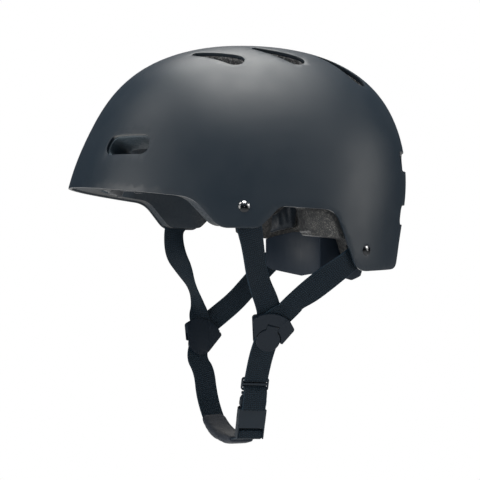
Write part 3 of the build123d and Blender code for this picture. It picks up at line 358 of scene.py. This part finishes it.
# Where each strap hangs, as shares for hang, and the way that its face looks
HANGING = {
    ("front", 1): [((0.891, -0.0577, 0.2325), (0.98, 0.2, 0)), ((0.825, -0.0388, 0.353), (0.96, 0.28, 0))],
    ("front", -1): [((-0.902, -0.119, 0.272), (-0.95, 0.3, 0)), ((-0.877, -0.090, 0.343), (-0.55, 0.84, 0)),
                    ((-0.849, -0.068, 0.4145), (-0.03, 1, 0)), ((-0.815, -0.055, 0.4845), (-0.3, 0.95, 0))],
    ("rear", 1): [((0.844, 0.164, 0.345), (1, 0, 0)), ((0.821, 0.1103, 0.403), (1, 0, 0)),
                  ((0.797, 0.0562, 0.4615), (1, 0, 0))],
    ("rear", -1): [((-0.877, 0.167, 0.3445), (-1, 0, 0)), ((-0.845, 0.118, 0.415), (-1, 0, 0)),
                   ((-0.81, 0.0676, 0.485), (-1, 0, 0))],
}
# Where each strap enters the divider: shares of the divider's radius, across and up
ENTRY = {"front": [(-0.390, 1.204), (-0.125, 0.648), (-0.125, 0.320)],
         "rear": [(0.398, 1.343), (0.157, 0.972), (-0.116, 0.579)]}
LOWER_ENTRY = (0.278, -0.60)     # up the divider's middle line


def on_plane(plane, x, y, z):
    origin, along_x, along_y, along_z = plane
    return origin + along_x * x + along_y * y + along_z * z


def chains_of(name):
    """The long edges of a strap's solid that start at its upper end, each a list of points."""
    made = bmesh.new()
    made.from_mesh(nodes[name].data)
    bmesh.ops.remove_doubles(made, verts=made.verts, dist=WELD)
    joined = {}
    for edge in made.edges:
        if len(edge.link_faces) == 2 and edge.calc_face_angle() > STRAP_CORNER:
            for vert in edge.verts:
                joined.setdefault(vert, []).append(edge)
    corners = [vert for vert, edges in joined.items() if len(edges) == 3]
    chains = {}
    for corner in corners:
        for edge in joined[corner]:
            chain, here, last = [corner], corner, edge
            while True:
                here = last.other_vert(here)
                chain.append(here)
                if len(joined[here]) != 2:
                    break
                last = next(e for e in joined[here] if e is not last)
            if len(chain) > UNDER_STATIONS:
                chains[frozenset((chain[0].index, chain[-1].index))] = [vert.co.copy() for vert in chain]
    made.free()
    down = [chain if chain[0].z > chain[-1].z else chain[::-1] for chain in chains.values()]
    return sorted(down, key=lambda chain: -chain[0].z)[:4]


def under_shell(name):
    """The two side lines of the part that lies inside the shell, each midway between two edges."""
    chains = [chain[:UNDER_STATIONS] for chain in chains_of(name)]
    first = chains.pop(0)
    partner = min(chains, key=lambda chain: (chain[0] - first[0]).length)
    chains.remove(partner)
    return [[(a + b) / 2 for a, b in zip(*pair)] for pair in ((first, partner), chains)]


CORNER_CUTS = 3


def rounded_line(points):
    """Corner cutting that keeps both ends."""
    for _ in range(CORNER_CUTS):
        cut = [points[0]]
        for a, b in zip(points, points[1:]):
            cut += [a.lerp(b, 0.25), a.lerp(b, 0.75)]
        points = cut + [points[-1]]
    return points


EDGE_STEPS = 4
ACROSS_STEPS = 10


def web_section():
    """Shares of half width and half thickness round the tape, its edges round and a little full."""
    turn = [math.pi * (step / EDGE_STEPS - 0.5) for step in range(EDGE_STEPS + 1)]
    flat = np.linspace(-1, 1, ACROSS_STEPS + 1)[1:-1]
    right = [(1, math.cos(a), math.sin(a)) for a in turn]
    top = [(-u, 0, 1) for u in flat]
    left = [(-1, -math.cos(a), -math.sin(a)) for a in turn]
    bottom = [(u, 0, -1) for u in flat]
    return right + top + left + bottom


def tape(name, left, right, replaces):
    """A woven tape between two side lines, in place of a CAD strap."""
    middles = [(a + b) / 2 for a, b in zip(left, right)]
    run = np.cumsum([0] + [(b - a).length for a, b in zip(middles, middles[1:])])
    section = web_section()
    made = bmesh.new()
    weave = made.verts.layers.float_vector.new("weave")
    rings = []
    for i, middle in enumerate(middles):
        across = right[i] - left[i]
        half = across.length / 2 - WEB / 2
        across.normalize()
        along = (middles[min(i + 1, len(middles) - 1)] - middles[max(i - 1, 0)]).normalized()
        out = along.cross(across).normalized()
        ring = []
        for u, edge, t in section:
            vert = made.verts.new(middle + across * (u * half + edge * WEB / 2) + out * (t * WEB / 2))
            vert[weave] = (u * half + edge * WEB / 2, run[i], t)
            ring.append(vert)
        rings.append(ring)
    size = len(section)
    for a, b in zip(rings, rings[1:]):
        for k in range(size):
            made.faces.new((a[k], a[(k + 1) % size], b[(k + 1) % size], b[k]))
    made.faces.new(rings[0][::-1])
    made.faces.new(rings[-1])
    piece = finished(name, made, "webbing")
    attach(piece, "helmet")
    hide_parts(replaces)


def finished(name, made, slot):
    """Turns a bmesh into an object with its finish."""
    bmesh.ops.recalc_face_normals(made, faces=made.faces)
    for face in made.faces:
        face.smooth = True
    mesh = bpy.data.meshes.new(name)
    made.to_mesh(mesh)
    made.free()
    piece = bpy.data.objects.new(name, mesh)
    bpy.context.scene.collection.objects.link(piece)
    dress(piece, slot)
    return piece


def side_lines(stations):
    """Side lines through stations of point and outward direction, as wide as the webbing."""
    points = [Vector(point) for point, _ in stations]
    left, right = [], []
    for i, (point, (_, outward)) in enumerate(zip(points, stations)):
        ahead = points[min(i + 1, len(points) - 1)] - point
        behind = point - points[max(i - 1, 0)]
        along = ((ahead.normalized() if ahead.length else behind.normalized())
                 + (behind.normalized() if behind.length else ahead.normalized())).normalized()
        across = along.cross(Vector(outward)).normalized() * WEB_WIDTH / 2
        left.append(point - across)
        right.append(point + across)
    return left, right


def anchored(place, word):
    """A strap from its rivet to the divider."""
    name = f"strap_{place}_{word}"
    side = 1 if word == "left" else -1
    above = under_shell(name)
    stations = [((a + b) / 2, (0, 0, 1)) for a, b in zip(*above)]
    stations += [(hang(*share), outward) for share, outward in HANGING[place, side]]
    plane = DIVIDERS[side]
    for x_share, y_share in ENTRY[place]:
        point = on_plane(plane, side * DIVIDER_RADIUS * x_share, DIVIDER_RADIUS * y_share, LAYERS[place])
        stations.append((point, plane[3]))
    lines = side_lines(stations)
    first = lines[0][UNDER_STATIONS]
    if (above[0][-1] - first).length > (above[1][-1] - first).length:
        above.reverse()
    lines = [upper + line[UNDER_STATIONS:] for upper, line in zip(above, lines)]
    tape(f"web_{place}_{word}", *[rounded_line(line) for line in lines], replaces=name)


for place in ("front", "rear"):
    for word in ("left", "right"):
        anchored(place, word)


def threading():
    """Over the adjuster's top bar, behind its middle one, over the low one and down the outer face."""
    weave_out = ADJUSTER / 2 + 2 * CLEARANCE + WEB / 2
    tail_out = LOWER_HALF / 2 + 2 * CLEARANCE + WEB / 2
    middle = (ADJUSTER_HIGH + ADJUSTER_LOW) / 2
    far, near = ADJUSTER_BAR / 2 + SLOT_ROOM - WEB / 4, ADJUSTER_BAR / 2 + WEB / 4
    return [(ADJUSTER_HIGH + WEB, weave_out), (middle + far, weave_out), (middle + near, -weave_out),
            (middle - near, -weave_out), (middle - far, weave_out), (PRONG_ROOT / 2, tail_out),
            (-STRAP_TAIL, tail_out)]


def lower_left():
    """From the divider down to the buckle's upper half, and through its adjuster."""
    stations = [(on_plane(DIVIDERS[1], 0, DIVIDER_RADIUS * share, FRONT_LAYER), DIVIDERS[1][3])
                for share in LOWER_ENTRY]
    stations += [(on_plane(BUCKLE, 0, y, z), BUCKLE[3]) for y, z in threading()]
    lines = [rounded_line(line) for line in side_lines(stations)]
    tape("web_lower_left", *lines, replaces="lower_strap_left")


# Where the long lower strap hangs, as in HANGING
LOWER_RIGHT = [((-0.660, -0.0466, 0.7785), (-1, 0, -0.2)), ((-0.588, -0.0450, 0.880), (-0.95, 0, -0.3)),
               ((-0.462, -0.0385, 0.962), (-0.75, 0, -0.66)), ((-0.325, -0.0360, 0.993), (-0.4, 0, -0.92)),
               ((-0.120, -0.0345, 1.010), (-0.1, 0, -1)), ((0.130, -0.0300, 1.010), (0.15, 0, -1)),
               ((0.310, -0.0250, 0.998), (0.4, 0, -0.92))]
WRAP_START, WRAP = -90, 330      # degrees round the bar
WRAP_STEPS = 12


def lower_right():
    """Under the chin and once round the lower half's bar."""
    stations = [(on_plane(DIVIDERS[-1], 0, DIVIDER_RADIUS * share, FRONT_LAYER), DIVIDERS[-1][3])
                for share in LOWER_ENTRY]
    stations += [(hang(*share), outward) for share, outward in LOWER_RIGHT]
    gap = CLEARANCE + WEB / 2
    high, deep = BAR_HEIGHT / 2 + gap, BAR / 2 + gap
    stations.append((on_plane(BUCKLE, 0, BAR_Y - high, -BAR / 2), -BUCKLE[2]))
    round_bar = []
    for step in range(WRAP_STEPS + 1):
        turn = math.radians(WRAP_START + WRAP * step / WRAP_STEPS)
        up, out = math.sin(turn), math.cos(turn)
        straight = (BAR_HEIGHT - BAR) / 2 * math.copysign(min(1, abs(3 * up)), up)
        normal = BUCKLE[2] * up + BUCKLE[3] * out
        round_bar.append((on_plane(BUCKLE, 0, BAR_Y + straight + deep * up, deep * out), normal))
    lines = [rounded_line(line) for line in side_lines(stations + round_bar)]
    tape("web_lower_right", *lines, replaces="lower_strap_right")


lower_left()
lower_right()


# Padding: each pad is remeshed from its solid and swollen by a cloth simulation, and some are sewn

VOXEL = 2.2 * MM
CLOTH_FRAMES = 20
HEAD_CENTRE = (0, 10 * MM, 0)
# A point is free where its normal leans inwards by FREE_LEAN or more, and below that it is held by
# HELD_RISE for each unit of lean that it lacks
FREE_LEAN = 0.6
HELD_RISE = 2.5
SEAM_WIDTH = 1.8 * MM
SEAM_DEPTH = 1.6 * MM


def shown_mesh(piece):
    """The piece's mesh with its modifiers."""
    graph = bpy.context.evaluated_depsgraph_get()
    return bpy.data.meshes.new_from_object(piece.evaluated_get(graph))


def modified(piece, kind, **settings):
    """Adds one modifier and takes its result as the piece's mesh."""
    made = piece.modifiers.new("work", kind)
    for key, value in settings.items():
        setattr(made, key, value)
    mesh = shown_mesh(piece)
    piece.modifiers.clear()
    old, piece.data = piece.data, mesh
    bpy.data.meshes.remove(old)


def points_of(piece):
    flat = np.empty(3 * len(piece.data.vertices))
    piece.data.vertices.foreach_get("co", flat)
    return flat.reshape(-1, 3)


def put_points(piece, points):
    piece.data.vertices.foreach_set("co", points.ravel())
    piece.data.update()


def swell(piece, held, most):
    """A short cloth simulation under pressure, in which no point moves further than most."""
    rest = points_of(piece)
    group = piece.vertex_groups.new(name="held")
    for index, weight in enumerate(held):
        if weight > 0:
            group.add([index], float(weight), "REPLACE")
    cloth = piece.modifiers.new("swell", "CLOTH")
    settings = cloth.settings
    settings.quality = 5
    settings.mass = 0.2
    settings.use_pressure = True
    settings.uniform_pressure_force = 4
    settings.tension_stiffness = settings.compression_stiffness = 15
    settings.bending_stiffness = 0.4
    settings.vertex_group_mass = "held"
    settings.effector_weights.gravity = 0
    cloth.collision_settings.use_collision = False
    scene = bpy.context.scene
    for step in range(1, CLOTH_FRAMES + 1):
        scene.frame_set(step)
    mesh = shown_mesh(piece)
    piece.modifiers.clear()
    piece.vertex_groups.clear()
    moved = np.empty(3 * len(mesh.vertices))
    mesh.vertices.foreach_get("co", moved)
    scene.frame_set(1)
    shift = moved.reshape(-1, 3) - rest
    length = np.linalg.norm(shift, axis=1, keepdims=True)
    shift *= np.minimum(1, most / np.maximum(length, 1e-9))
    put_points(piece, rest + shift)


def pad(node, most=1.6 * MM, centre=HEAD_CENTRE, channels=()):
    """A pad whose back stays on the liner while its face swells inwards."""
    piece = bpy.data.objects.new(node + "_cover", nodes[node].data.copy())
    bpy.context.scene.collection.objects.link(piece)
    modified(piece, "WELD", merge_threshold=WELD)
    modified(piece, "REMESH", mode="VOXEL", voxel_size=VOXEL)
    modified(piece, "SMOOTH", factor=0.5, iterations=3)
    inward = Vector(centre)
    piece.data.update()
    held = []
    for vertex in piece.data.vertices:
        facing = vertex.normal.dot((inward - vertex.co).normalized())
        held.append(min(1.0, max(0.0, FREE_LEAN - facing) * HELD_RISE))
    swell(piece, held, most)
    for normal, offset in channels:
        sew(piece, Vector(normal), offset, inward)
    modified(piece, "SUBSURF", levels=1, render_levels=1)
    for polygon in piece.data.polygons:
        polygon.use_smooth = True
    dress(piece, slot_of[node])
    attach(piece, "helmet")
    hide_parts(node)


def sew(piece, normal, offset, inward):
    """Draws the face in along a plane's line, as a sewn channel does."""
    points = points_of(piece)
    normal = np.array(normal.normalized())
    away = points @ normal - offset
    toward = np.array(inward) - points
    toward /= np.linalg.norm(toward, axis=1, keepdims=True)
    normals = np.array([vertex.normal for vertex in piece.data.vertices])
    facing = np.clip((normals * toward).sum(1), 0, 1)
    drawn = SEAM_DEPTH * facing * np.exp(-(away / SEAM_WIDTH) ** 2)
    put_points(piece, points - toward * drawn[:, None])


# Sewn channels and folds, each the normal of a plane and its distance from the frame's origin
PLEATS = [((0, 1, 0.12), offset * MM) for offset in (48, 54, 59, 65, 71)]
RUMPLES = [((1, 0.15, 0), -41 * MM), ((1, -0.3, 0), -24 * MM), ((1, 0.4, 0), -9 * MM),
           ((1, -0.2, 0), 9 * MM)]
for word in ("left", "right"):
    pad(f"side_pad_{word}")
    pad(f"nape_pad_{word}", channels=PLEATS)
pad("brow_pad", channels=[((1, 0, 0), 0.0), ((1, 0, 0), 24 * MM), ((1, 0, 0), -24 * MM)])
pad("crown_pad", channels=[((0, 1, 0), 18 * MM)])
pad("cradle_pad", centre=(0, 0, -51 * MM))
pad("chin_pad", centre=(-10 * MM, -10 * MM, -400 * MM), most=1.0 * MM, channels=RUMPLES)


# Studio


def world():
    """White where the camera looks, and a soft grey room elsewhere."""
    made = bpy.data.worlds.new("studio")
    bpy.context.scene.world = made
    made.use_nodes = True
    tree = made.node_tree
    back = tree.nodes["Background"]
    path = tree.nodes.new("ShaderNodeLightPath")
    seen = tree.nodes.new("ShaderNodeMath")
    seen.operation = "MAXIMUM"
    tree.links.new(path.outputs["Is Camera Ray"], seen.inputs[0])
    tree.links.new(path.outputs["Is Transmission Ray"], seen.inputs[1])
    mix = tree.nodes.new("ShaderNodeMix")
    mix.data_type = "RGBA"
    tree.links.new(seen.outputs[0], mix.inputs["Factor"])
    mix.inputs[MIX_FIRST].default_value = colour(0.050, 0.059, 0.070)
    mix.inputs[MIX_SECOND].default_value = colour(1.0, 1.0, 1.0)
    tree.links.new(mix.outputs[MIX_RESULT], back.inputs["Color"])


def floor(drop):
    """A pale floor below the hanging straps. It shows white to the camera and is clear from below."""
    made = bmesh.new()
    bmesh.ops.create_grid(made, x_segments=1, y_segments=1, size=6)
    mesh = bpy.data.meshes.new("floor")
    made.to_mesh(mesh)
    made.free()
    piece = bpy.data.objects.new("floor", mesh)
    piece.location.z = drop
    bpy.context.scene.collection.objects.link(piece)
    s = Shader("floor_paper")
    s.set(base_color=colour(0.36, 0.37, 0.38), roughness=0.9, specular_ior_level=0.1)
    tree = s.tree
    path = s.node("LightPath")
    glow = s.node("Emission", Color=colour(1, 1, 1), Strength=1.0)
    mix = s.node("MixShader")
    s.feed(mix.inputs[0], path.outputs["Is Camera Ray"])
    tree.links.new(s.surface.outputs[0], mix.inputs[1])
    tree.links.new(glow.outputs[0], mix.inputs[2])
    clear = s.node("MixShader")
    s.feed(clear.inputs[0], s.node("NewGeometry").outputs["Backfacing"])
    tree.links.new(mix.outputs[0], clear.inputs[1])
    tree.links.new(s.node("BsdfTransparent").outputs[0], clear.inputs[2])
    tree.links.new(clear.outputs[0], tree.nodes["Material Output"].inputs["Surface"])
    mesh.materials.append(s.material)


def lamp(name, place, target, size, power, tint):
    """An area lamp that faces its target and that the camera doesn't see."""
    data = bpy.data.lights.new(name, "AREA")
    data.color = tint
    data.shape = "RECTANGLE"
    data.size, data.size_y = size
    data.energy = power
    piece = bpy.data.objects.new(name, data)
    piece.location = place
    piece.rotation_euler = (Vector(target) - Vector(place)).to_track_quat("-Z", "Y").to_euler()
    piece.visible_camera = False
    bpy.context.scene.collection.objects.link(piece)


FLOOR_HEIGHT = -300 * MM
WHITE = (1, 1, 1)
WARM = (1.0, 0.97, 0.92)
# Name, place, target, width and height, power and tint
LAMPS = [
    ("top_box", (-0.02, 0.10, 1.1), (-0.02, 0.10, 0), (1.5, 0.6), 22, (1.0, 0.985, 0.95)),
    ("brow_box", (0.15, -0.75, 0.85), (0, -0.05, 0.02), (0.6, 0.5), 3, WARM),
    ("front_fill", (0.48, -1.15, -0.05), (0, 0, 0), (0.65, 0.8), 11, WARM),
    ("rear_fill", (0.74, 1.08, 0.28), (0, 0, 0), (0.6, 0.9), 7.5, (1.0, 0.98, 0.94)),
    ("low_fill", (0.9, -0.2, -0.45), (0, 0, -0.04), (0.5, 0.4), 1.0, WHITE),
    ("under_box", (0.1, -0.05, -0.295), (0.1, -0.05, 0), (1.0, 1.0), 1.3, WHITE),
    ("bowl_fill", (0, 0.03, -0.06), (0, -0.04, 0.04), (0.06, 0.06), 0.015, WHITE),
]

world()
floor(FLOOR_HEIGHT)
for values in LAMPS:
    lamp(*values)

# Camera, at the photograph's place and height
CAMERA_TURN = math.radians(15.5)
CAMERA_DISTANCE = 1.0
CAMERA_HEIGHT = -42 * MM
LENS_MM = 91.5
SENSOR_MM = 36
camera_data = bpy.data.cameras.new("camera")
camera_data.lens = LENS_MM
camera_data.sensor_width = SENSOR_MM
camera = bpy.data.objects.new("camera", camera_data)
look = Vector((-math.cos(CAMERA_TURN), math.sin(CAMERA_TURN), 0))
camera.location = look * -CAMERA_DISTANCE + Vector((0, 0, CAMERA_HEIGHT))
camera.rotation_euler = look.to_track_quat("-Z", "Y").to_euler()
bpy.context.scene.collection.objects.link(camera)
bpy.context.scene.camera = camera
bpy.context.scene.view_settings.view_transform = "Standard"
